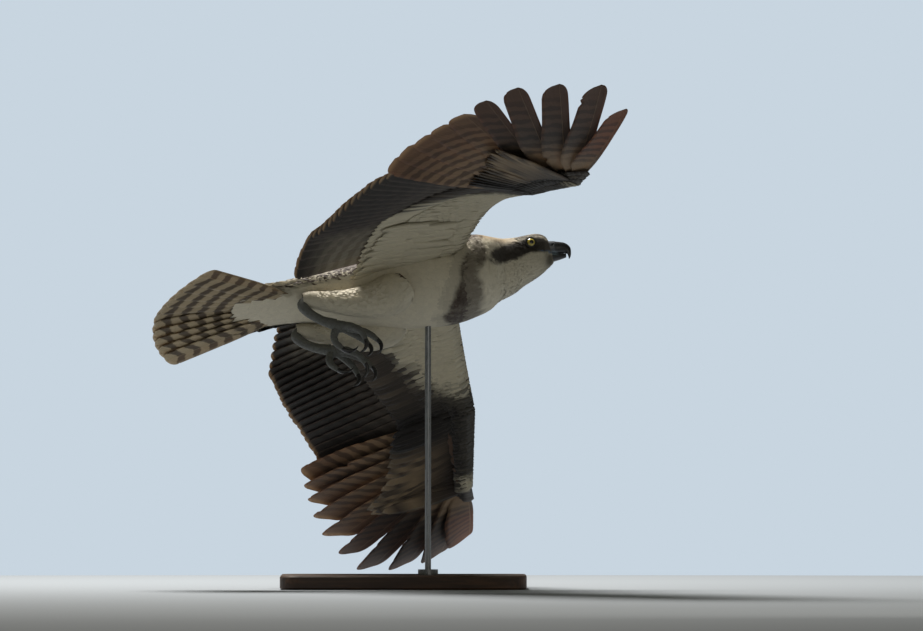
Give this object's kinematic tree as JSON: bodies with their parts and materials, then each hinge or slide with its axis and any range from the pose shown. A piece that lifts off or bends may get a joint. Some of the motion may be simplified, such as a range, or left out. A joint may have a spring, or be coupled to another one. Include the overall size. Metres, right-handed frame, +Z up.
{
  "type": "osprey",
  "caption": "Life-size still model of an osprey in banked flight, wings arched and spread, feet drawn up, on a flat base with a short steel rod.",
  "frame": {"origin": "centre of the underside of the stand's base, where it rests on the floor", "axes": "+X the way the bird flies, to the right in the picture; +Y away from the viewer of the picture, towards the bird's left wing; +Z up"},
  "size_m": [0.6142, 1.439, 0.6495],
  "materials": {
    "plumage": "white feathers below, dark brown above, matte",
    "flight_feathers": "barred brown flight and tail feathers, soft sheen",
    "bill": "black horn, smooth, with a blue-grey base",
    "eye": "yellow iris under a clear wet surface",
    "leg_skin": "pale grey scaly skin",
    "claw": "black polished horn",
    "stand_wood": "dark oiled wood",
    "stand_steel": "brushed steel"
  },
  "bodies": {
    "root": {"torso": "plumage", "neck": "plumage", "head": "plumage", "bill_upper": "bill", "bill_lower": "bill", "tail": "flight_feathers", "eye_left": "eye", "wing_left_upperarm": "flight_feathers", "wing_left_forearm": "flight_feathers", "wing_left_hand": "flight_feathers", "thigh_left": "plumage", "tarsus_left": "leg_skin", "foot_left": "leg_skin", "claw_left_inner": "claw", "claw_left_middle": "claw", "claw_left_outer": "claw", "claw_left_hind": "claw", "eye_right": "eye", "wing_right_upperarm": "flight_feathers", "wing_right_forearm": "flight_feathers", "wing_right_hand": "flight_feathers", "thigh_right": "plumage", "tarsus_right": "leg_skin", "foot_right": "leg_skin", "claw_right_inner": "claw", "claw_right_middle": "claw", "claw_right_outer": "claw", "claw_right_hind": "claw", "stand_base": "stand_wood", "stand_collar": "stand_steel", "stand_rod": "stand_steel"}
  },
  "joints": []
}
